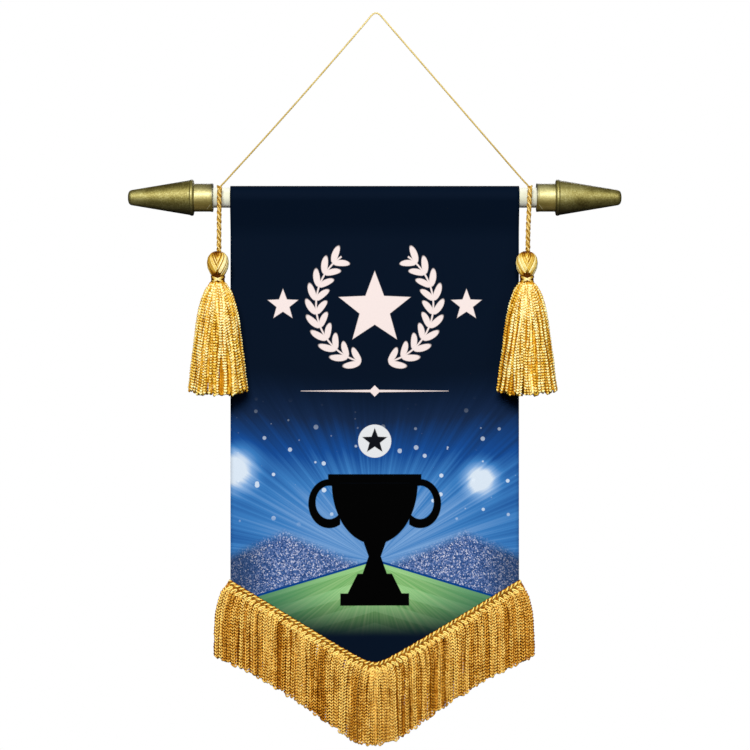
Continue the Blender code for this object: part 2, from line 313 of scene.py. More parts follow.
def ropeTree():
    # a twisted rope: plies laid round the path, and yarns laid round each ply
    tree, graph, given = newTree(
        "twistedRope", Int="Plies, Yarns, Sides", Material="Yarn finish",
        Float="Step, Ply offset, Ply turn, Yarn offset, Yarn turn, Yarn radius, Front crest",
    )
    curve = graph.out("GeometryNodeMeshToCurve", {"Mesh": given["Geometry"]})
    fine = graph.out("GeometryNodeResampleCurve", {"Curve": curve, "Length": given["Step"]}, mode="LENGTH")
    position = graph.out("GeometryNodeInputPosition")
    fine = graph.store(fine, "axis", position, "FLOAT_VECTOR")
    plies = layStrands(graph, fine, given["Plies"], given["Ply offset"], given["Ply turn"])
    strands = layStrands(graph, plies, given["Yarns"], given["Yarn offset"], given["Yarn turn"])
    outline = {"Resolution": given["Sides"], "Radius": given["Yarn radius"]}
    ring = graph.out("GeometryNodeCurvePrimitiveCircle", outline)
    sweep = {"Curve": strands, "Profile Curve": ring, "Fill Caps": True}
    tube = graph.out("GeometryNodeCurveToMesh", sweep)
    away = graph.vectors("SUBTRACT", position, graph.stored("axis", "FLOAT_VECTOR"))
    reach = given["Ply offset"] + given["Yarn offset"] + given["Yarn radius"]
    outermost = graph.vectors("LENGTH", away, output="Value") / reach
    facing = graph.stored("facing", "FLOAT_VECTOR")
    front = graph.vectors("DOT_PRODUCT", away, facing, output="Value") / reach
    # painted shade in the grooves between yarns, and painted light on the side the rope faces
    crest = graph.ease(outermost, 0.30, 1.0)
    crest = crest + (graph.maths("MAXIMUM", front, 0.0) - crest) * given["Front crest"]
    endTree(graph, graph.store(tube, "crest", crest), given["Yarn finish"])
    return tree


def chainTree():
    # a chain-stitched yarn: V-shaped stitches one after another along each guide
    tree, graph, given = newTree(
        "chainStitch", Int="Seed", Material="Yarn finish",
        Float="Pitch, Leg length, Leg width, Leg depth, Leg spread, Leg lean, Leg dip, "
        "Edge shade, End shade, Unevenness, Jumble, Tone jitter",
    )

    def scattered(middle, reach, kind="FLOAT"):
        node = graph.add("FunctionNodeRandomValue", {"Seed": given["Seed"]}, data_type=kind)
        first = {"FLOAT_VECTOR": 0, "FLOAT": 2}[kind]
        for socket, sign in ((first, -1.0), (first + 1, 1.0)):
            graph.feed(node.inputs[socket], middle + reach * sign)
        return Field(graph, node.outputs[first // 2])

    curve = graph.out("GeometryNodeMeshToCurve", {"Mesh": given["Geometry"]})
    spacing = {"Curve": curve, "Length": given["Pitch"]}
    points = graph.add("GeometryNodeCurveToPoints", spacing, mode="LENGTH").outputs
    axes = {"Primary Axis": points["Tangent"], "Secondary Axis": graph.stored("facing", "FLOAT_VECTOR")}
    turned = graph.out("FunctionNodeAxesToRotation", axes, primary_axis="Z", secondary_axis="Y")
    jumble = scattered(0.0, given["Jumble"], "FLOAT_VECTOR")
    tilt = graph.out("FunctionNodeEulerToRotation", {"Euler": jumble})
    tilted = {"Rotation": turned, "Rotate By": tilt}
    turned = graph.out("FunctionNodeRotateRotation", tilted, rotation_space="LOCAL")
    tone = graph.stored("tone") + scattered(0.0, given["Tone jitter"])
    stitchPoints = graph.store(points["Points"], "tone", tone)
    ball = graph.out("GeometryNodeMeshUVSphere", {"Segments": 6, "Rings": 3, "Radius": 1.1})
    across, out, along = graph.split(graph.out("GeometryNodeInputPosition"))
    sides = {"X": "Leg width", "Y": "Leg depth", "Z": "Leg length"}
    size = graph.joined(**{axis: given[side] * 0.5 for axis, side in sides.items()})
    legs = graph.add("GeometryNodeJoinGeometry")
    for side in (1, -1):
        outer = graph.maths("MAXIMUM", across * side, 0.0)
        # painted light on the side each stitch faces, painted shade at the legs' ends and outer edges
        crest = out * 0.66 + 0.56 - along * along * given["End shade"] - outer * given["Edge shade"]
        leg = {
            "Geometry": graph.store(ball, "crest", crest),
            "Translation": graph.joined(X=given["Leg spread"] * side),
            "Rotation": graph.joined(X=given["Leg dip"], Y=given["Leg lean"] * -side),
            "Scale": size,
        }
        graph.feed(legs.inputs[0], graph.out("GeometryNodeTransform", leg))
    stitches = {
        "Points": stitchPoints, "Instance": legs.outputs[0], "Rotation": turned,
        "Scale": scattered(1.0, given["Unevenness"]),
    }
    endTree(graph, graph.out("GeometryNodeInstanceOnPoints", stitches), given["Yarn finish"])
    return tree


# stage, camera and lights
stageLook = {
    "cameraDistance": 3.0,
    "cameraX": 0.0003,
    "cameraHeight": -0.3826,  # from the hook point, level with the banner's middle
    "viewWidth": 0.793,  # how much of the banner's plane the camera takes in
    "floorDrop": 1.5,  # of the floor below the fringe
    "floorRadius": 0.6,
    "ambient": 0.05,
    "lights": {
        "keyLight": {"place": (-0.5, -4.2, 1.9), "size": (2.4, 1.4), "power": 310.0},
        "fillLight": {"place": (1.5, -2.0, 0.7), "size": (1.2, 1.2), "power": 10.0},
        "backLight": {"place": (0.3, 2.2, 0.8), "size": (1.6, 1.0), "power": 24.0},
    },
}


def addLight(name, place, size, power):
    lamp = bpy.data.lights.new(name, "AREA")
    lamp.shape = "RECTANGLE"
    lamp.size, lamp.size_y = size
    lamp.energy = power
    holder = addObject(name, lamp)
    holder.location = place
    towards = Vector((0, 0, stageLook["cameraHeight"])) - Vector(place)
    holder.rotation_euler = towards.to_track_quat("-Z", "Y").to_euler()


def makeStage():
    look = stageLook
    lens = bpy.data.cameras.new("camera")
    lens.lens = lens.sensor_width * look["cameraDistance"] / look["viewWidth"]
    lens.clip_end = 30.0
    camera = addObject("camera", lens)
    camera.location = (look["cameraX"], -look["cameraDistance"], look["cameraHeight"])
    camera.rotation_euler = (math.radians(90), 0, 0)
    scene.camera = camera
    for name, light in look["lights"].items():
        addLight(name, **light)
    world = bpy.data.worlds.new("studio")
    scene.world = world
    world.use_nodes = True
    graph = Graph(world.node_tree)
    seen = graph.out("ShaderNodeLightPath", output="Is Camera Ray")
    soft = graph.out("ShaderNodeBackground", {"Color": (1, 1, 1, 1), "Strength": look["ambient"]})
    plain = graph.out("ShaderNodeBackground", {"Color": (1, 1, 1, 1), "Strength": 1.0})
    both = graph.out("ShaderNodeMixShader", {0: seen, 1: soft, 2: plain})
    graph.feed(world.node_tree.nodes["World Output"].inputs["Surface"], both)
    floorShape = bmesh.new()
    bmesh.ops.create_circle(floorShape, cap_ends=True, radius=look["floorRadius"], segments=96)
    paint = newMaterial("palePaper", 0.8, Base_Color=(0.9, 0.9, 0.9, 1))[0]
    floor = addObject("floor", shapeMesh("floor", floorShape), paint)
    floor.location = (0, 0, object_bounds()[0].z - look["floorDrop"])
    scene.view_settings.view_transform = "Standard"


makeStage()
print("stage, camera and lights made")


# yarn finishes
# colour stops from deepest painted shade (gap) through painted shade and the yarn's own body colour to a
# painted highlight (light); glint tints the gloss
yarnLook = {
    "fringe": {
        "gap": (0.16, 0.042, 0.002), "shade": (0.43, 0.14, 0.007), "body": (0.77, 0.370, 0.036),
        "light": (0.97, 0.69, 0.18), "glint": (0.95, 0.68, 0.26), "mottle": 1.2,
    },
    "header": {
        "gap": (0.06, 0.014, 0.001), "shade": (0.42, 0.15, 0.008), "body": (0.86, 0.46, 0.045),
        "light": (1.0, 0.82, 0.24), "glint": (0.95, 0.72, 0.30), "mottle": 0.7,
    },
    "tassel": {
        "gap": (0.46, 0.18, 0.006), "shade": (0.72, 0.33, 0.012), "body": (0.92, 0.62, 0.055),
        "light": (1.0, 0.93, 0.48), "glint": (1.0, 0.92, 0.60), "mottle": 0.7,
    },
    "neck": {
        "gap": (0.085, 0.020, 0.001), "shade": (0.34, 0.13, 0.007), "body": (0.86, 0.58, 0.070),
        "light": (1.0, 0.94, 0.52), "glint": (1.0, 0.94, 0.66), "mottle": 0.6,
    },
    "cord": {
        "gap": (0.07, 0.022, 0.001), "shade": (0.30, 0.14, 0.010), "body": (0.58, 0.36, 0.06),
        "light": (0.97, 0.76, 0.32), "glint": (1.0, 0.85, 0.5), "mottle": 1.2,
    },
    "hanger": {
        "gap": (0.40, 0.26, 0.050), "shade": (0.52, 0.36, 0.085), "body": (0.66, 0.50, 0.15),
        "light": (0.96, 0.82, 0.40), "glint": (1.0, 0.9, 0.6), "mottle": 1.0,
    },
}


def yarnMaterial(name, look):
    # lustrous rayon with fine filaments, coloured by painted light and shade: painted shade where yarns
    # press together, painted light along their outer sides and the side they face
    material, graph, shader = newMaterial(name, 0.36, Specular_Tint=(*look["glint"], 1))
    place = graph.out("ShaderNodeTexCoord", output="Object")
    tone = graph.out("ShaderNodeAttribute", output="Fac", attribute_name="tone")
    crest = graph.out("ShaderNodeAttribute", output="Fac", attribute_name="crest")
    mottle = graph.noise(place, 700.0, 3.0, 0.7)
    cloud = graph.noise(place, 45.0, 1.0)
    # painted light and shade, mixed with random tone and mottle
    level = crest * 0.95 + (tone - 0.5) * 0.25 + (mottle - 0.5) * look["mottle"] + (cloud - 0.5) * 0.3
    colour = graph.ramp(
        level, (0.05, look["gap"]), (0.33, look["shade"]), (0.60, look["body"]), (0.95, look["light"])
    )
    graph.feed(shader.inputs["Base Color"], colour)
    graph.feed(shader.inputs["Specular IOR Level"], graph.ease(level, 0.2, 1.0, 0.05, 0.6))
    addBump(graph, shader, graph.noise(place, 2600.0, 2.0, 0.6), 0.00025, 0.6)  # filaments
    return material


yarns = {name: yarnMaterial(name + "Yarn", look) for name, look in yarnLook.items()}
rope = ropeTree()
chain = chainTree()


def layYarn(name, guides, finish, step, radius, sides, frontPaintedLight=1.0):
    # one plain round yarn along each guide
    values = {
        "Step": step, "Plies": 1, "Ply offset": 0.0, "Ply turn": 1.0, "Yarns": 1, "Yarn offset": 0.0,
        "Yarn turn": 1.0, "Yarn radius": radius, "Sides": sides, "Front crest": frontPaintedLight,
        "Yarn finish": finish,
    }
    return grow(guideMesh(name + "Guide", guides), rope, values, name)


def layStitches(name, guides, stitch, seed, finish):
    # a chain-stitched yarn along each guide
    values = {**stitch, "Seed": seed, "Yarn finish": finish}
    return grow(guideMesh(name + "Guide", guides), chain, values, name)


print("yarn finishes made")


# cords: the thin one to hang the banner by, and a thick one to each tassel
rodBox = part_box("rod")
rodAxisZ = (rodBox[0].z + rodBox[1].z) / 2
rodRadius = (rodBox[1].z - rodBox[0].z) / 2
bothSides = (("Left", -1), ("Right", 1))
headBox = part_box("tassel_head_right")
tasselX = (headBox[0].x + headBox[1].x) / 2
tasselY = (headBox[0].y + headBox[1].y) / 2

hangerLook = {
    "diameter": 0.0023,
    "bulk": 0.0020,  # over the plies, which are pulled tight
    "tone": -1.2,
    "topTone": 0.2,
    "plies": 3,
    "turn": 0.0080,
    "yarns": 1,
    "yarnTurn": 1.0,
    "step": 0.0005,
    "sag": (0.0014, 0.0010),  # how far the loop's top sits to the right of the hook point, and below it
    "sagDepth": 0.17,  # below the hook point, where the sag has died away
    "droop": 0.0018,  # of the left run at its middle
    # from the hook point down to the rod: x outwards, y, z from the hook point
    "run": [
        (0.00000, 0.0000, 0.00115),
        (0.00219, 0.0000, 0.00066),
        (0.00400, -0.0001, -0.00068),
        (0.01200, -0.0001, -0.00990),
        (0.03500, -0.0001, -0.03640),
        (0.08000, -0.0001, -0.08830),
        (0.12500, -0.0002, -0.14020),
        (0.15000, -0.0003, -0.16900),
    ],
    # round the rod and back beside itself: x outwards, y, z from the rod's axis
    "wrap": [
        (0.15850, -0.0008, 0.01650),
        (0.16130, -0.0032, 0.01340),
        (0.16260, -0.0075, 0.01035),
        (0.16320, -0.0109, 0.00625),
        (0.16330, -0.0125, 0.00000),
        (0.16330, -0.0108, -0.00630),
        (0.16340, -0.0063, -0.01090),
        (0.16360, 0.0000, -0.01255),
        (0.16380, 0.0064, -0.01090),
        (0.16410, 0.0109, -0.00630),
        (0.16440, 0.0125, 0.00000),
        (0.16490, 0.0108, 0.00635),
        (0.16540, 0.0063, 0.01090),
        (0.16580, 0.0004, 0.01255),
        (0.16610, -0.0039, 0.01205),
    ],
}
tasselCordLook = {
    "diameter": 0.0055,
    "bulk": 0.0055,
    "drift": {-1: -0.0004, 1: -0.0022},  # of each cord's lower end, in x
    "driftDepth": 0.05,  # over which it comes in
    "tone": -0.1,
    "plies": 3,
    "turn": -0.0200,
    "yarns": 3,
    "yarnTurn": -0.0130,
    "step": 0.0007,
    # up the rod's front: y, z from the rod's axis
    "route": [
        (tasselY, -0.0578),
        (tasselY, -0.0440),
        (tasselY, -0.0300),
        (tasselY, -0.0160),
        (tasselY, -0.0040),
        (-0.0167, 0.0030),
        (-0.0159, 0.0075),
        (-0.0143, 0.0108),
    ],
}


def smoothRoute(points, step=0.003):
    points = [Vector(p) for p in points]
    padded = [2 * points[0] - points[1], *points, 2 * points[-1] - points[-2]]
    route = []
    for before, start, end, after in zip(padded, padded[1:], padded[2:], padded[3:]):
        t1 = (start - before).length ** 0.5
        t2 = t1 + (end - start).length ** 0.5
        t3 = t2 + (after - end).length ** 0.5
        pieces = max(1, round((end - start).length / step))
        for i in range(pieces):
            t = t1 + (t2 - t1) * i / pieces
            a = before.lerp(start, t / t1)
            b = start.lerp(end, (t - t1) / (t2 - t1))
            c = end.lerp(after, (t - t2) / (t3 - t2))
            earlier = a.lerp(b, t / t2)
            later = b.lerp(c, (t - t1) / (t3 - t1))
            route.append(earlier.lerp(later, (t - t1) / (t2 - t1)))
    return [*route, points[-1]]


def tieCord(route):
    length = sum((end - start).length for start, end in zip(route, route[1:]))
    tuple(route[0])
    [tuple(p) for p in route]


def twistedCord(name, route, look, tones, finish, sides):
    radius = look["bulk"] / 2
    plyRadius = radius * 0.53  # plies press into one another a little
    yarnRadius = plyRadius * (0.56 if look["yarns"] > 1 else 1.0)  # and so do yarns
    values = {
        "Step": look["step"], "Plies": look["plies"], "Yarns": look["yarns"],
        "Ply offset": radius - plyRadius, "Ply turn": look["turn"],
        "Yarn offset": plyRadius - yarnRadius, "Yarn turn": look["yarnTurn"],
        "Yarn radius": yarnRadius, "Sides": sides, "Front crest": 0.35, "Yarn finish": finish,
    }
    return grow(guideMesh(name + "Guide", [(route, facingAt(0.0), tones)]), rope, values, name)


def makeCords():
    look = hangerLook
    half = smoothRoute([*look["run"], *((x, y, z + rodAxisZ) for x, y, z in look["wrap"])])
    route = [Vector((-p.x, p.y, p.z)) for p in half[:0:-1]] + half
    tones = []
    for point in route:
        share = max(0.0, 1 + point.z / look["sagDepth"])
        droop = look["droop"] * 4 * share * max(0.0, 1 - share) if point.x < 0 else 0.0
        point.x += look["sag"][0] * share
        point.z -= look["sag"][1] * share + droop
        tones.append(look["tone"] + (look["topTone"] - look["tone"]) * share)
    hanger = twistedCord("hangerCord", route, look, tones, yarns["hanger"], 6)
    fitPiece(hanger, "hanger_cord")
    tieCord(route)
    look = tasselCordLook
    top = look["route"][-1][1]
    for word, side in bothSides:
        points = []
        for y, z in look["route"]:
            drift = look["drift"][side] * min(1.0, (top - z) / look["driftDepth"])
            points.append((side * tasselX + drift, y, z + rodAxisZ))
        route = smoothRoute(points)
        cord = twistedCord("tasselCord" + word, route, look, look["tone"], yarns["cord"], 7)
        fitPiece(cord, "tassel_cord_" + word.lower())
        tieCord(route[::-1])


makeCords()
print("cords made")


# rod and caps
capLook = {
    "collarStart": 0.1708, "collarEnd": 0.1908, "collarRadius": 0.0148,
    "lipRadius": 0.0192, "lipEnd": 0.1950, "coneRadius": 0.0185,
    "noseStart": 0.2565, "noseEnd": 0.2610, "noseRadius": 0.0082,
    "sides": 96,
    "markX": 0.1750, "markZ": -0.0103,  # a small moulding mark, low on the collar
    "coat": ((0.36, (0.15, 0.115, 0.020)), (0.50, (0.32, 0.275, 0.075)), (0.64, (0.52, 0.48, 0.20))),
    # colours for painted shade at the rim and underneath, painted dark reflections at the edges and a
    # painted highlight on the mark
    "rim": (0.015, 0.011, 0.003, 1),
    "under": (0.03, 0.024, 0.006, 1),
    "collar": (0.95, 0.90, 0.55, 1),
    "warmUnderShade": (0.52, 0.36, 0.02, 1),
    "edge": (0.015, 0.012, 0.003, 1),
    "markHighlight": (0.95, 0.88, 0.50, 1),
}


def creamPlastic():
    material, graph, shader = newMaterial(
        "creamPlastic", 0.6, Specular_IOR_Level=0.2, Sheen_Weight=0.6, Sheen_Roughness=0.5
    )
    place = graph.out("ShaderNodeTexCoord", output="Object")
    cloud = graph.noise(place, 60.0, 3.0)
    colour = graph.ramp(cloud, (0.3, (0.60, 0.60, 0.45)), (0.7, (0.71, 0.71, 0.56)))
    height = graph.split(place)[2] - rodAxisZ
    # painted light: paler along its top and underside
    paintedLitEdges = graph.maths("MAXIMUM", abs(height) - 0.004, 0.0) / rodRadius
    graph.feed(shader.inputs["Base Color"], graph.mix(paintedLitEdges * 1.2, colour, (0.95, 0.95, 0.86, 1)))
    addBump(graph, shader, graph.noise(place, 900.0, 2.0), 0.0002, 0.3)
    return material


def bronzeCoat():
    # olive bronze coat on moulded plastic, with painted shade at the rim and underneath, painted dark
    # reflections along the top and bottom, and a painted highlight on the moulding mark
    look = capLook
    material, graph, shader = newMaterial(
        "bronzeCoat", 0.5, 0.95, Coat_Weight=0.45, Coat_Roughness=0.35, Specular_Tint=(0.10, 0.09, 0.04, 1)
    )
    ease, mix = graph.ease, graph.mix
    place = graph.out("ShaderNodeTexCoord", output="Object")
    x, depth, z = graph.split(place)
    along, height = abs(x), z - rodAxisZ
    cloud = graph.noise(place, 45.0, 4.0, 0.6)
    speck = graph.noise(place, 800.0, 2.0, 0.7)
    colour = graph.ramp(cloud * 0.5 + speck * 0.5, *look["coat"])
    # painted shade along the collar's rolled rim
    rim = ease(along, look["collarStart"] + 0.0008, look["collarStart"] + 0.002, 0.9, 0.0)
    colour = mix(rim, colour, look["rim"])
    # painted shade on the underside
    colour = mix(ease(height, -0.016, -0.003, 0.78, 0.0), colour, look["under"])
    collar = ease(along, look["collarEnd"] - 0.001, look["collarEnd"], 1.0, 0.0)
    colour = mix(collar * 0.16, colour, look["collar"])
    # a warmer painted shade on the collar's underside
    colour = mix(ease(height, -0.010, 0.003, 0.5, 0.0) * collar, colour, look["warmUnderShade"])
    # painted dark reflections along the top and bottom edges
    upright = abs(height) / graph.maths("SQRT", depth * depth + height * height + 1e-8)
    colour = mix(ease(upright, 0.90, 0.985, 0.0, 0.85), colour, look["edge"])
    # painted highlight along a small moulding mark
    slant = abs(height - look["markZ"] + (along - look["markX"]) * 1.1)
    markHighlight = ease(slant, 0.0002, 0.0007, 0.9, 0.0)
    markHighlight = markHighlight * ease(abs(along - look["markX"]), 0.0016, 0.0022, 1.0, 0.0)
    colour = mix(markHighlight, colour, look["markHighlight"])
    graph.feed(shader.inputs["Base Color"], colour)
    graph.feed(shader.inputs["Roughness"], ease(cloud, 0.3, 0.7, 0.54, 0.64))
    addBump(graph, shader, speck, 0.0002, 0.5)
    return material


def makeRod():
    half, bevel = rodBox[1].x, 0.0008
    profile = roundedProfile(
        [(-half, 0, 0), (-half, rodRadius, bevel), (half, rodRadius, bevel), (half, 0, 0)], 3
    )
    rod = turnedPiece("rodBar", profile, (1, 0, 0), (0, 0, rodAxisZ), capLook["sides"], creamPlastic())
    fitPiece(rod, "rod")


def makeCaps():
    look = capLook
    socketEnd, socketRadius = rodBox[1].x + 0.0003, rodRadius + 0.0003
    start, end, radius = look["collarStart"], look["collarEnd"], look["collarRadius"]
    # distance along the rod, radius and fillet
    corners = [
        (socketEnd, 0, 0),
        (socketEnd, socketRadius, 0.0004),
        (start + 0.0010, socketRadius, 0.0002),
        (start, socketRadius + 0.0008, 0.0003),
        (start, radius + 0.0003, 0.0006),
        (start + 0.0016, radius + 0.0003, 0.0005),
        (start + 0.0030, radius, 0.0008),
        (end, radius, 0.0010),
        (end + 0.0008, look["lipRadius"], 0.0014),
        (look["lipEnd"] - 0.0004, look["lipRadius"], 0.0012),
        (look["lipEnd"], look["coneRadius"], 0.0006),
        (look["noseStart"] + 0.0022, look["noseRadius"] - 0.0004, 0.0022),
        (look["noseEnd"] - 0.0004, look["noseRadius"] - 0.0034, 0.0022),
        (look["noseEnd"], 0, 0),
    ]
    finish, profile = bronzeCoat(), roundedProfile(corners, 6)
    for word, side in bothSides:
        cap = turnedPiece("cap" + word, profile, (side, 0, 0), (0, 0, rodAxisZ), look["sides"], finish)
        fitPiece(cap, "cap_" + word.lower())


makeRod()
makeCaps()
print("rod and caps made")


# cloth
clothLook = {
    "width": 0.305, "cadThickness": 0.0016, "thickness": 0.0009,
    "cornerZ": -0.6057, "pointZ": -0.6927, "pointRounding": 0.010,
    "sleeveEase": 0.0005, "seamDrop": 0.036, "seamSoftness": 0.009,
    "hemLength": 0.010, "hemGap": 0.0004,
    "sway": 0.0014, "swayDepth": 0.45, "waveLengths": (0.21, 0.11),
    "columns": 64, "rows": 100,
}


def clothEdgeZ(x):
    look = clothLook
    rounding = look["pointRounding"]
    reach = math.hypot(look["width"] / 2, rounding) - rounding
    rise = (look["cornerZ"] - look["pointZ"]) / reach
    return look["pointZ"] + rise * (math.hypot(x, rounding) - rounding)


def clothSway(x, z):
    look = clothLook
    broad, narrow = look["waveLengths"]
    depth = max(0.0, (rodAxisZ - look["seamDrop"] - z) / look["swayDepth"])
    wave = math.sin(math.tau * x / broad + 0.7) + 0.5 * math.sin(math.tau * x / narrow - 1.1 + 2.0 * depth)
    return look["sway"] * depth**1.5 * wave


def sleeveProfile():
    # (y, z) from the hem's end up the back, over the rod and down to where the front hangs flat
    look = clothLook
    ring = rodRadius + look["sleeveEase"] + look["cadThickness"] / 2
    lean = math.asin(ring / look["seamDrop"])
    seamZ = rodAxisZ - look["seamDrop"]
    hemY = look["cadThickness"] + look["hemGap"]
    profile = [(hemY, seamZ - look["hemLength"] * (1 - i / 5)) for i in range(5)] + [(hemY + 0.0001, seamZ)]
    arc = []
    for i in range(41):
        angle = -lean + (math.pi + 2 * lean) * i / 40
        arc.append((ring * math.cos(angle), rodAxisZ + ring * math.sin(angle)))
    back, front = arc[0], arc[-1]
    for i in range(1, 10):
        share = i / 10
        profile.append((hemY + (back[0] - hemY) * share, seamZ + (back[1] - seamZ) * share))
    profile += arc
    soft = look["seamSoftness"]
    start = Vector((front[0] * soft / (front[1] - seamZ), seamZ + soft))
    turn = Vector((0, seamZ))
    end = Vector((0, seamZ - soft))
    for share in (0.75, 0.5, 0.25):
        profile.append(tuple(start.lerp(Vector(front), share)))
    for i in range(9):
        t = i / 8
        profile.append(tuple(start.lerp(turn, t).lerp(turn.lerp(end, t), t)))
    return profile


printLook = {
    "uvMetres": 0.62,  # cloth across one unit of its UV map
    "strength": 0.79,  # of all the printed colours together
    "navy": (0.0017, 0.0064, 0.0182),
    "cream": (0.93, 0.80, 0.77),
    # in mm: x from the middle, y down from the top edge
    "soft": 0.45,  # of printed edges
    "wreath": (0, 134, 62),  # x, y and radius, as for the stars
    "stars": ((0, 138, 40), (-97, 134, 17), (97, 134, 17)),
    "ruleY": 225.0, "ruleReach": 78.0,
    "glow": (208.0, 352.0),  # where the sky starts to brighten, and is brightest
    "rayY": 405.0,  # where the rays come from
    "flares": ((-148.0, 306.0, 50.0), (112.0, 318.0, 37.0)),
    "farRidgeY": 374.0, "nearRidgeY": 404.0,
    "stripe": 24.0,
    "cupY": 322.0, "cupScale": 1.30,
    "discRadius": 17.5, "discStar": 14.0,
}


def printMaterial(topShare):
    # the printed face, drawn from the distances to its shapes
    look = printLook
    material, graph, shader = newMaterial("printedSatin", 0.75, Specular_IOR_Level=0.02)
    uv = graph.out("ShaderNodeUVMap", uv_map="clothUv")
    u, v = graph.split(uv)[:2]
    x = (u - 0.5) * (look["uvMetres"] * 1000)
    y = (v - topShare) * (look["uvMetres"] * 1000)
    side = abs(x)
    ease, mix = graph.ease, graph.mix

    def fill(distance, soft=look["soft"]):  # 1 inside a shape, 0 outside
        return ease(distance, -soft, soft, 1.0, 0.0)

    def oval(px, py, cx, cy, a, b):
        return (graph.distance((px - cx) / a, (py - cy) / b) - 1.0) * min(a, b)

    def combined(operation, first, *others):
        for other in others:
            first = graph.maths(operation, first, other)
        return first

    def both(*distances):
        return combined("MAXIMUM", *distances)

    def either(*distances):
        return combined("MINIMUM", *distances)

    def band(value, low, high):
        return both(low - value, value - high)

    def star(cx, cy, radius, waist=0.42):
        dx, dy = x - cx, cy - y
        spread = math.tau / 5
        angle = graph.maths("ARCTAN2", dx, dy) + math.tau + spread / 2
        folded = abs(graph.maths("MODULO", angle, spread) - spread / 2)
        reach = graph.distance(dx, dy)
        px = reach * graph.maths("COSINE", folded)
        py = reach * graph.maths("SINE", folded)
        tip = Vector((radius, 0))
        valley = Vector((math.cos(spread / 2), math.sin(spread / 2))) * radius * waist
        edge = (valley - tip).normalized()
        return (px - tip.x) * edge.y - (py - tip.y) * edge.x

    def wreath(cx, cy, radius):
        dx, dy = abs(x - cx), y - cy
        angle = graph.maths("ARCTAN2", dx, dy)
        pitch, leaves, lean = 0.235, 10, math.radians(36)
        index = graph.maths("FLOOR", angle / pitch)
        run = graph.maths("FRACT", angle / pitch) * (pitch * radius)
        off = abs(graph.distance(dx, dy) - radius)
        shapes = [both(off - 0.9, band(angle, pitch, pitch * (leaves + 0.8)) * radius)]
        for before in (0, 1):  # the leaf that starts here, and the one that started a step before
            start = run + before * pitch * radius
            along = start * math.cos(lean) + off * math.sin(lean) - 9.5
            across = off * math.cos(lean) - start * math.sin(lean)
            outside = both(band(index - before, 0.5, leaves + 0.5), 0.0) * 1000.0
            shapes.append(oval(along, across, 0.0, 0.0, 9.2, 3.4) + outside)
        return either(*shapes)

    # sky: dark at the top and brighter downwards, with uneven rays and two soft lights
    rayAngle = graph.joined(X=graph.maths("ARCTAN2", x, look["rayY"] - y))
    rays = graph.noise(rayAngle, 9.0, 3.0, 0.65)
    fineRays = graph.noise(rayAngle, 34.0, 2.0, 0.6)
    glow = ease(y + side * 0.10, *look["glow"])
    hot = ease(graph.distance(x, y - look["rayY"]), 40.0, 190.0, 1.0, 0.0)
    level = glow * (0.20 + rays * 0.50 + (fineRays - 0.5) * 0.34) + hot * glow * 0.17
    for flareX, flareY, flareSize in look["flares"]:
        away = graph.distance(x - flareX, y - flareY)
        level = level + graph.maths("POWER", ease(away, 0.0, flareSize, 1.0, 0.0), 2.2) * 0.75
    sky = graph.ramp(
        level,
        (0.0, look["navy"]), (0.14, (0.007, 0.022, 0.070)), (0.34, (0.008, 0.072, 0.30)),
        (0.52, (0.045, 0.21, 0.54)), (0.72, (0.23, 0.43, 0.75)), (0.92, (0.72, 0.82, 0.93)),
    )
    # drifting points of light
    dots = graph.add("ShaderNodeTexVoronoi", {"Vector": uv, "Scale": 70.0, "Randomness": 1.0}).outputs
    dotTone = graph.split(dots["Color"])[0]
    dotSize = ease(dotTone, 0.45, 1.0, 0.02, 0.30)
    dotMask = ease(Field(graph, dots["Distance"]) - dotSize, -0.05, 0.02, 1.0, 0.0)
    dotZone = ease(y + side * 0.1, 240.0, 320.0) * ease(y, 345.0, 372.0, 1.0, 0.0)
    sky = mix(dotMask * dotZone * 0.75, sky, (0.80, 0.90, 1.0, 1))
    # a far ridge that glitters
    glitter = graph.add("ShaderNodeTexVoronoi", {"Vector": uv, "Scale": 540.0, "Randomness": 1.0}).outputs
    glitterColour = graph.ramp(
        graph.split(glitter["Color"])[1], (0.1, (0.015, 0.045, 0.18)), (0.5, (0.06, 0.13, 0.36)),
        (0.78, (0.20, 0.27, 0.54)), (0.96, (0.74, 0.74, 0.88)),
    )
    shadow = ease(side, 100.0, 146.0, 0.1, 0.7)
    glitterColour = mix(shadow, glitterColour, (0.01, 0.02, 0.05, 1))
    farRidge = abs(side - 96.0) * 0.42 + look["farRidgeY"]
    face = mix(ease(y - farRidge, -6.0, 9.0, 0.0, 0.92), sky, glitterColour)
    # a near ridge in green stripes that darkens towards the point
    depth = y - (side * 0.30 + look["nearRidgeY"])
    stripe = ease(abs(graph.maths("FRACT", depth / look["stripe"]) - 0.5), 0.23, 0.27)
    greens = mix(stripe, (0.18, 0.46, 0.14, 1), (0.28, 0.60, 0.23, 1))
    shine = graph.noise(rayAngle, 22.0, 2.0, 0.5)
    greens = mix(ease(shine, 0.35, 0.75, 0.0, 0.45), greens, (0.64, 0.86, 0.42, 1))
    greens = mix(ease(side, 18.0, 125.0, 0.0, 0.72), greens, (0.018, 0.17, 0.10, 1))
    greens = mix(ease(y, 432.0, 486.0), greens, (*look["navy"], 1))
    face = mix(fill(-depth), face, greens)
    face = mix(fill(abs(depth) - 1.2), face, (0.0, 0.05, 0.25, 1))
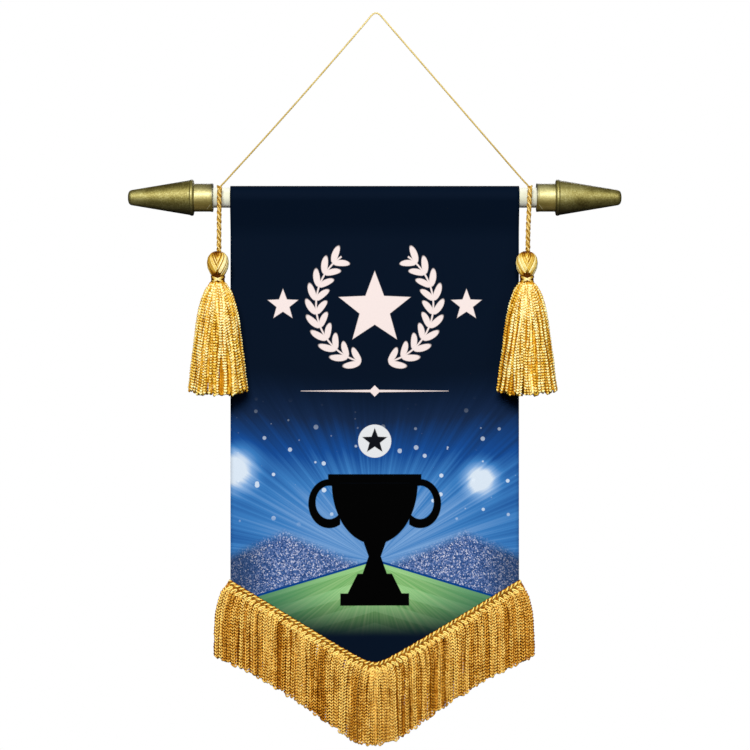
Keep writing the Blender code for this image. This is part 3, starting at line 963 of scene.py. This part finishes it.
    # a black cup with two handles
    size = look["cupScale"]
    px, py = side / size, (y - look["cupY"]) / size
    bowl = both(oval(px, py, 0, 0, 35, 50), -py)
    rim = both(px - 38.0, band(py, -7.0, 0.5))
    handles = both(oval(px, py, 37.0, 17.0, 17, 20), -oval(px, py, 37.0, 16.0, 11, 13.5), 28.0 - px)
    stem = both(px - 5.0 - abs(py - 60.0) * 0.35, band(py, 46.0, 76.0))
    base = both(px - 14.0 - (py - 74.0) * 0.5, band(py, 74.0, 92.0))
    foot = both(px - 28.0, band(py, 90.0, 100.0))
    cup = either(bowl, rim, handles, stem, base, foot) * size
    face = mix(fill(cup), face, (0.0, 0.0, 0.0, 1))
    # a white disc with a dark star above the cup
    discY, discRadius = look["cupY"] - 44.0, look["discRadius"]
    face = mix(fill(oval(x, y, 0.0, discY, discRadius, discRadius)), face, (0.80, 0.82, 0.84, 1))
    face = mix(fill(star(0.0, discY, look["discStar"])), face, (0.005, 0.006, 0.01, 1))
    # wreath, stars and a tapering rule in cream
    ruleOff = abs(y - look["ruleY"])
    cream = either(
        wreath(*look["wreath"]), *(star(*place) for place in look["stars"]),
        both(side - look["ruleReach"], ruleOff - 1.3 + side * 0.014), side + ruleOff - 6.0,
    )
    face = mix(fill(cream), face, (*look["cream"], 1))
    graph.feed(shader.inputs["Base Color"], graph.scaled(face, look["strength"]))
    weave(graph, shader, uv)
    return material


def weave(graph, shader, uv):
    # close satin weave: long floats one way, fine threads the other
    stretchX = graph.vectors("MULTIPLY", uv, (1400.0, 240.0, 1.0))
    stretchY = graph.vectors("MULTIPLY", uv, (240.0, 1400.0, 1.0))
    threads = graph.noise(stretchX, 1.0, 1.0) + graph.noise(stretchY, 1.0, 1.0) * 0.6
    addBump(graph, shader, threads, 0.0002, 0.35)


def backMaterial():
    # the unprinted back: plain, pale and a little cloudy
    material, graph, shader = newMaterial("plainSatin", 0.7, Sheen_Weight=0.1)
    uv = graph.out("ShaderNodeUVMap", uv_map="clothUv")
    cloud = graph.noise(uv, 9.0, 2.0)
    colour = graph.ramp(cloud, (0.3, (0.50, 0.52, 0.56)), (0.7, (0.58, 0.60, 0.63)))
    graph.feed(shader.inputs["Base Color"], colour)
    weave(graph, shader, uv)
    return material


def makeCloth():
    look = clothLook
    sleeve = sleeveProfile()
    columns, rows = look["columns"], look["rows"]
    flatTop = sleeve[-1][1]
    positions, lengths = [], []
    topIndex = max(range(len(sleeve)), key=lambda i: sleeve[i][1])
    for c in range(columns + 1):
        x = (c / columns - 0.5) * look["width"]
        line = [Vector((x, y + clothSway(x, z), z)) for y, z in sleeve]
        for r in range(1, rows + 1):
            z = flatTop + (clothEdgeZ(x) - flatTop) * r / rows
            line.append(Vector((x, clothSway(x, z), z)))
        run = [0.0]
        for start, end in zip(line, line[1:]):
            run.append(run[-1] + (end - start).length)
        positions += line
        lengths += run
    count = len(sleeve) + rows
    faces = []
    for c in range(columns):
        for r in range(count - 1):
            a, b = c * count + r, (c + 1) * count + r
            faces.append((a, a + 1, b + 1, b))
    mesh = bpy.data.meshes.new("bannerCloth")
    mesh.from_pydata([tuple(p) for p in positions], [], faces)
    uvs = mesh.uv_layers.new(name="clothUv")
    for loop in mesh.loops:
        across = positions[loop.vertex_index].x / printLook["uvMetres"] + 0.5
        uvs.data[loop.index].uv = (across, lengths[loop.vertex_index] / printLook["uvMetres"])
    topShare = lengths[topIndex] / printLook["uvMetres"]
    area = sum(polygon.area for polygon in mesh.polygons)
    longest = max(lengths)
    print(f"cloth cut {look['width']:.3f} x {longest:.3f} m, {area:.4f} m2, top share {topShare:.4f}")
    cloth = addObject("bannerCloth", mesh)
    mesh.materials.append(printMaterial(topShare))
    mesh.materials.append(backMaterial())
    mesh.shade_smooth()
    sheet = cloth.modifiers.new("thickness", "SOLIDIFY")
    sheet.thickness = look["thickness"]
    sheet.offset = 0.0
    sheet.use_even_offset = True
    sheet.material_offset = 1
    sheet.material_offset_rim = 0
    return cloth, longest, area


bannerCloth, clothLength, clothArea = makeCloth()
print("cloth made")


# fringe
fringeLook = {
    "width": 0.3065, "headerRise": 0.0069, "headerHeight": 0.0092,
    "clear": clothLook["cadThickness"] / 2 + 0.0003 + 0.0013,  # of the header in front of the cloth
    "drop": 0.083, "centreExtra": 0.0065, "centreReach": 0.060,
    "flare": 0.0188, "flareReach": 0.014, "flareRise": 0.018,
    "bend": 0.0042, "centreBend": 0.0115, "bendReach": 0.028,  # the strands fan out below the point
    "sideInset": 0.0030, "sideReach": 0.005,  # of the outermost strands
    "sideShorter": 0.003, "pointShorter": 0.002, "shorterReach": 0.012,
    "lengthJitter": (-0.0022, 0.0018), "depthJitter": (-0.0006, 0.0006), "wander": (0.0002, 0.0009),
    "yaw": (-0.5, 0.5), "roll": (0.2, 0.6), "tone": (-0.6, 1.0), "pointTone": 0.25, "pointReach": 0.045,
    "seed": 11,
    "stitch": {
        "Pitch": 0.0031, "Leg length": 0.0047, "Leg width": 0.0019, "Leg depth": 0.0022,
        "Leg spread": 0.00115, "Leg lean": 0.60, "Leg dip": 0.30, "Edge shade": 0.12, "End shade": 0.42,
        "Unevenness": 0.08, "Jumble": 0.12, "Tone jitter": 0.35,
    },
    # of each layer: strands, their shift and scatter along the edge, how much shorter they are and how much
    # painted shade they get, how far back they hang, which way round, and where their stitches differ
    "layers": {
        "Front": {
            "strands": 80, "shift": 0.0, "scatter": 0.22, "shorter": 0.0012, "innerShade": 0.0, "y": -0.0016,
            "turned": 0.0, "stitch": {},
        },
        "Middle": {
            "strands": 80, "shift": 0.5, "scatter": 0.22, "shorter": 0.0016, "innerShade": 0.7, "y": 0.0006,
            "turned": 0.0, "stitch": {},
        },
        "Back": {
            "strands": 72, "shift": 0.0, "scatter": 0.0, "shorter": 0.0042, "innerShade": 0.2, "y": 0.0022,
            "turned": math.pi,
            "stitch": {  # fuller, so that no gap shows between them
                "Pitch": 0.0033, "Leg length": 0.0062, "Leg width": 0.0036, "Leg spread": 0.0013,
                "Leg lean": 0.25,
            },
        },
    },
    "edgingDrop": 0.0022,
    "edging": {
        "Step": 0.0007, "Plies": 2, "Ply offset": 0.00115, "Ply turn": -0.0106, "Yarns": 2,
        "Yarn offset": 0.0005, "Yarn turn": -0.0106, "Yarn radius": 0.0007, "Sides": 6, "Front crest": 0.7,
    },
    "straightYarns": ((0.0044, 1.6), (0.0058, -1.6)),  # distance from the edge, and tone
    "backing": (0.0012, 0.0030, 0.0048, 0.0066, 0.0084),
    "loops": 62, "loopDrop": 0.0082, "loopReach": 0.0030, "loopWidth": 0.0012, "loopLean": 0.0019,
    "loopYarn": {"step": 0.0007, "radius": 0.00078, "sides": 8, "frontPaintedLight": 0.9},
    "backingYarn": {"step": 0.0015, "radius": 0.0011, "sides": 8, "frontPaintedLight": 0.9},
}


def fringeStart(x):
    # the header's upper edge at x, and the way the strands leave it
    z = clothEdgeZ(x) + fringeLook["headerRise"]
    step = 0.0005
    slope = (clothEdgeZ(x + step) - clothEdgeZ(x - step)) / (2 * step)
    return Vector((x, 0, z)), Vector((slope, 0, -1)).normalized()


def flareAt(x):
    look = fringeLook
    inset = look["width"] / 2 - abs(x)
    return math.copysign(look["flare"] * math.exp(-inset / look["flareReach"]), x)


def fringeBend(x):
    look = fringeLook
    return look["bend"] + look["centreBend"] * math.exp(-abs(x) / look["bendReach"])


def fringeGuides(layer, rng):
    look = fringeLook
    half = look["width"] / 2 - look["sideInset"]
    tops = np.linspace(-half, half, 601)
    ends = [x + flareAt(x) + fringeStart(x)[1].x * fringeBend(x) for x in tops]
    steps = 16
    guides = []
    for i in range(layer["strands"]):
        place = i + layer["shift"] + rng.uniform(-layer["scatter"], layer["scatter"])
        share = place / (layer["strands"] - 0.5)
        x = float(np.interp(ends[0] + (ends[-1] - ends[0]) * share, ends, tops))
        top, normal = fringeStart(x)
        inset = look["width"] / 2 - abs(x)
        edge = math.exp(-inset / look["sideReach"])
        length = look["drop"] + look["centreExtra"] * math.exp(-((x / look["centreReach"]) ** 2))
        length += rng.uniform(*look["lengthJitter"]) - layer["shorter"]
        sideShorter = look["sideShorter"] * math.exp(-inset / look["shorterReach"])
        length -= sideShorter + look["pointShorter"] * math.exp(-((x / look["shorterReach"]) ** 2))
        first = look["headerHeight"] * (0.92 - 0.82 * edge)
        first += rng.uniform(0.0, look["stitch"]["Pitch"]) * (1 - edge)
        bend = fringeBend(x)
        wander, phase = rng.uniform(*look["wander"]), rng.uniform(0, math.tau)
        layerY = layer["y"] + rng.uniform(*look["depthJitter"])
        line = []
        for k in range(steps + 1):
            v = first + (length - first) * (k / steps) ** 1.5
            px = x + normal.x * bend * (1 - math.exp(-(v - first) / bend))
            px += flareAt(x) * (1 - math.exp(-v / look["flareRise"])) + wander * math.sin(phase + v * 60)
            pz = top.z - v
            py = clothSway(x, max(pz, clothEdgeZ(x))) - look["clear"] + layerY * min(1.0, v / 0.02)
            line.append(Vector((px, py, pz)))
        yaw, roll = rng.uniform(*look["yaw"]), rng.uniform(*look["roll"])
        middle = math.exp(-((x / look["pointReach"]) ** 2))
        tone = rng.uniform(*look["tone"]) + 0.4 * math.sin(x * 160 + 0.8) + 0.3 * math.sin(x * 410)
        # painted shade on the layers further back
        tone = tone - layer["innerShade"] + look["pointTone"] * middle
        facings, tones = [], []
        for k in range(steps + 1):
            facings.append(facingAt(yaw + roll * math.sin(phase + k * 0.5) + layer["turned"]))
            # painted highlight near each strand's top, fading down it and strongest towards the point
            tones.append(tone + (0.5 + 1.2 * middle) * math.exp(-k / 2.2) - 0.03 * k)
        guides.append((line, facings, tones))
    return guides


def makeFringe():
    look = fringeLook
    rng = random.Random(look["seed"])
    pieces = []
    for number, (name, layer) in enumerate(look["layers"].items()):
        guides = fringeGuides(layer, rng)
        stitch, seed = {**look["stitch"], **layer["stitch"]}, look["seed"] + number
        pieces.append(layStitches("fringeStrands" + name, guides, stitch, seed, yarns["fringe"]))
    pieces += makeHeader()
    for piece in pieces:
        fitPiece(piece, "fringe")
    return pieces


def headerPoint(x, drop):
    look = fringeLook
    top, normal = fringeStart(x)
    y = clothSway(x, top.z - 0.004) - look["clear"] + 0.0001
    return Vector((x, y, top.z)) + normal * drop


def headerLine(drop, samples=240):
    half = fringeLook["width"] / 2
    return [headerPoint((i / samples * 2 - 1) * half, drop) for i in range(samples + 1)]


def makeHeader():
    # a twisted edging along the point, straight yarns and loops under it, and plain yarns behind them
    look = fringeLook
    toFront = facingAt(0.0)
    edging = guideMesh("edgingGuide", [(headerLine(look["edgingDrop"]), toFront, 1.0)])
    edging = grow(edging, rope, {**look["edging"], "Yarn finish": yarns["header"]}, "fringeEdging")
    guides = [(headerLine(drop), toFront, tone) for drop, tone in look["straightYarns"]]
    rng = random.Random(look["seed"] + 9)
    count = look["loops"]
    for i in range(count):
        x = ((i + 0.5) / count * 2 - 1) * (look["width"] / 2 - 0.0015)
        normal = fringeStart(x)[1]
        along = Vector((-normal.z, 0, normal.x)) * math.copysign(1.0, x)
        middle = headerPoint(x, look["loopDrop"] + rng.uniform(-0.0004, 0.0004))
        lean = look["loopLean"] * rng.uniform(0.6, 1.3)
        line = []
        for k in range(17):
            angle = math.tau * k / 16
            reach = math.cos(angle)
            point = middle + normal * look["loopReach"] * reach
            point += along * (look["loopWidth"] * math.sin(angle) + lean * reach)
            point.y -= 0.0014 + 0.0004 * math.sin(angle)
            line.append(point)
        guides.append((line, toFront, rng.uniform(0.4, 1.8)))
    header = layYarn("fringeHeader", guides, yarns["header"], **look["loopYarn"])
    # the plain yarns behind are painted in shade
    guides = [(headerLine(drop), toFront, -2.0) for drop in look["backing"]]
    return edging, header, layYarn("fringeBacking", guides, yarns["header"], **look["backingYarn"])


fringePieces = makeFringe()
fitPiece(bannerCloth, "banner_panel")
print("fringe made")


# tassels
tasselLook = {
    "headTopZ": -0.2532, "headHeight": 0.0245, "bindingHeight": 0.0083, "gap": 0.0003,
    "depthShare": 0.72, "clearance": 0.002,  # the skirt is flattened, and stays clear of the cloth
    "hang": {-1: -0.0016, 1: -0.0034},  # how far off its cord's top each tassel hangs, in x
    "stitch": {
        "Pitch": 0.0029, "Leg length": 0.0034, "Leg width": 0.0017, "Leg depth": 0.0022,
        "Leg spread": 0.0006, "Leg lean": 0.50, "Leg dip": 0.30, "Edge shade": 0.35, "End shade": 0.85,
        "Unevenness": 0.12, "Jumble": 0.15, "Tone jitter": 0.6,
    },
    "coreStitch": {
        "Pitch": 0.0032, "Leg length": 0.0058, "Leg width": 0.0034, "Leg spread": 0.0013, "Leg lean": 0.25,
    },
    # the core's strands get painted shade
    "skirt": {"count": 50, "share": 0.945, "lengths": (0.1125, 0.1175), "innerShade": 0.0},
    "core": {"count": 40, "share": 0.80, "lengths": (0.1125, 0.1160), "innerShade": 1.1},
    "scatter": (-0.22, 0.22), "drift": (-0.06, 0.06), "ripple": (0.02, 0.07), "depthJitter": (0.94, 1.035),
    "yaw": (-0.5, 0.5), "tone": (-0.5, 1.9), "headTone": (-1.7, 1.5),
    # depth below the skirt's top, and half width there
    "sections": [
        (0.0000, 0.0076), (0.0022, 0.0096), (0.0064, 0.0132), (0.0170, 0.0176), (0.0275, 0.0202),
        (0.0380, 0.0222), (0.0590, 0.0250), (0.0800, 0.0280), (0.1010, 0.0304), (0.1180, 0.0322),
    ],
    # depth below the head's top, and radius there
    "headSections": [
        (0.0, 0.0030), (0.0016, 0.0068), (0.0056, 0.0098), (0.0112, 0.0108), (0.0170, 0.0101),
        (0.0214, 0.0085), (0.0245, 0.0070),
    ],
    "underYarns": 24, "underLift": -0.0009,
    "headYarns": 17, "firstYarn": 6, "headYarnPitch": 7.4, "slant": 66,  # the last three in degrees
    "headYarn": {"step": 0.0012, "radius": 0.00080, "sides": 7},
    "bindingYarn": {"step": 0.0010, "radius": 0.00062, "sides": 8},
    "rounds": 7, "roundPitch": 0.0012, "roundRadius": 0.0067,
    "crossRadius": 0.0070, "crossTilt": 0.0030, "crossShift": 0.0006,
}
bindingTopZ = tasselLook["headTopZ"] - tasselLook["headHeight"] - tasselLook["gap"]
skirtTopZ = bindingTopZ - tasselLook["bindingHeight"] - tasselLook["gap"]


def widthAt(sections, depth):
    depths, widths = zip(*sections)
    return float(np.interp(depth, depths, widths))


def tasselPoint(side, angle, z, across, forward):
    # a point round the tassel's axis: angle 0 faces the front
    x = side * tasselX + tasselLook["hang"][side] + across * math.sin(angle)
    return Vector((x, tasselY - forward * math.cos(angle), z))


def skirtPoint(side, angle, depth, share):
    look = tasselLook
    width = widthAt(look["sections"], depth) * share
    backLimit = (-tasselY - clothLook["cadThickness"] / 2 - look["clearance"]) * share
    front = width * float(np.interp(depth, (0.0, 0.012), (1.0, look["depthShare"])))
    reach = min(front, backLimit) if math.cos(angle) < 0 else front
    return tasselPoint(side, angle, skirtTopZ - depth, width, reach)


def skirtGuides(side, rng, count, share, lengths, innerShade):
    look = tasselLook
    steps = 18
    guides = []
    for i in range(count):
        base = math.tau * (i + rng.uniform(*look["scatter"])) / count - math.pi
        length = rng.uniform(*lengths) - 0.004 * abs(math.sin(base)) ** 4
        drift, phase = rng.uniform(*look["drift"]), rng.uniform(0, math.tau)
        ripple = rng.uniform(*look["ripple"])
        depthShare = share * rng.uniform(*look["depthJitter"])
        yaw, tone = rng.uniform(*look["yaw"]), rng.uniform(*look["tone"]) - innerShade
        first = rng.uniform(0.0, look["stitch"]["Pitch"])
        line, facings, tones = [], [], []
        for k in range(steps + 1):
            depth = first + (length - first) * k / steps
            spread = 0.12 - 0.75 * math.exp(-depth / 0.045)
            angle = base + spread * math.sin(base) + drift * k / steps
            angle += ripple * math.sin(phase + depth * 75)
            bell = depthShare + 0.03 * max(0.0, depth / 0.115 - 0.88) / 0.12
            line.append(skirtPoint(side, angle, depth, bell))
            facings.append(facingAt(angle * 0.7 + yaw + 0.4 * math.sin(phase + k * 0.7)))
            # a little painted light at each strand's top, painted shade further down
            tones.append(tone + 0.1 * math.exp(-k / 4) - 0.15 * (k / steps))
        guides.append((line, facings, tones))
    return guides


def tasselSkirt(word, side):
    # loose strands, over a core of fuller ones
    look = tasselLook
    rng = random.Random(31 + side)
    skirt = skirtGuides(side, rng, **look["skirt"])
    core = skirtGuides(side, rng, **look["core"])
    stitch = look["stitch"]
    skirt = layStitches("tasselSkirt" + word, skirt, stitch, 5 + side, yarns["tassel"])
    stitch = {**stitch, **look["coreStitch"]}
    return skirt, layStitches("tasselCore" + word, core, stitch, 5 + side, yarns["tassel"])


def tasselHead(word, side):
    # yarn laid over the head from the cord to the neck, slanting in to the front's middle and the back's
    look = tasselLook
    rng = random.Random(71 + side)
    count, steps = look["underYarns"], 20
    # where each yarn starts, which way it slants, the side it faces and its lift: first the upright ones
    starts = [(math.tau * i / count, 0, 0.0, look["underLift"]) for i in range(count)]
    for front in (0.0, math.pi):
        for hand in (-1, 1):
            for i in range(look["headYarns"]):
                away = math.radians(look["firstYarn"] + look["headYarnPitch"] * i)
                starts.append((front + hand * away, hand, front, 0.0))
    guides = []
    for base, hand, front, lift in starts:
        # the upright yarns underneath are painted in shade
        tone = rng.uniform(*look["headTone"]) + 0.2 * hand if hand else -1.0
        if abs(base - front) < math.radians(40):  # those near the middle lie deeper, and get painted shade
            tone = min(tone, 0.1)
        line, facings, tones = [], [], []
        for k in range(steps + 1):
            t = k / steps
            angle = base - hand * math.radians(look["slant"]) * t
            if hand and (angle - front) * hand < math.radians(-5 + 100 * max(0.0, t - 0.72)):
                break
            drop = look["headHeight"] * t
            radius = widthAt(look["headSections"], drop) + lift
            line.append(tasselPoint(side, angle, look["headTopZ"] - drop, radius, radius))
            facings.append(facingAt(angle))
            # painted shade towards the neck, and near the top on the yarns slanting one way
            tones.append(tone - 7.0 * max(0.0, t - 0.78) - (hand < 0) * 3.0 * max(0.0, 0.3 - t))
        guides.append((line, facings, tones))
    return layYarn("tasselHead" + word, guides, yarns["neck"], **look["headYarn"])


def tasselBinding(word, side):
    # rounds of yarn with two crossing pairs of rounds over them
    look = tasselLook
    middle = bindingTopZ - look["bindingHeight"] / 2
    angles = [math.tau * k / 48 for k in range(49)]
    facings = [facingAt(angle) for angle in angles]

    def ring(radius, z, tilt):
        return [tasselPoint(side, angle, z + tilt * math.sin(angle), radius, radius) for angle in angles]

    guides = []
    for i in range(look["rounds"]):
        z = middle + (i - (look["rounds"] - 1) / 2) * look["roundPitch"]
        # the rounds under the crossing pairs are painted in shade
        guides.append((ring(look["roundRadius"], z, 0.0002), facings, -3.9))
    # the crossing pairs get painted light at the front and back and painted shade at the sides
    tones = [3.6 * math.cos(angle) ** 2 - 3.0 for angle in angles]
    for tilt, lift in ((look["crossTilt"], 0.0002), (-look["crossTilt"], 0.0)):
        for shift in (look["crossShift"], -look["crossShift"]):
            guides.append((ring(look["crossRadius"] + lift, middle + shift, tilt), facings, tones))
    return layYarn("tasselBinding" + word, guides, yarns["neck"], **look["bindingYarn"])


def makeTassels():
    for word, side in bothSides:
        skirt, core = tasselSkirt(word, side)
        fitPiece(tasselHead(word, side), "tassel_head_" + word.lower())
        fitPiece(tasselBinding(word, side), "tassel_binding_" + word.lower())
        fitPiece(skirt, "tassel_skirt_" + word.lower())
        fitPiece(core, "tassel_skirt_" + word.lower())


makeTassels()
print("tassels made")

made = [o for o in scene.objects if o.type == "MESH" and not o.hide_render]
for piece in made:
    faces = sum(len(polygon.vertices) - 2 for polygon in piece.data.polygons)
    print(f"{piece.name}: {faces} triangles")
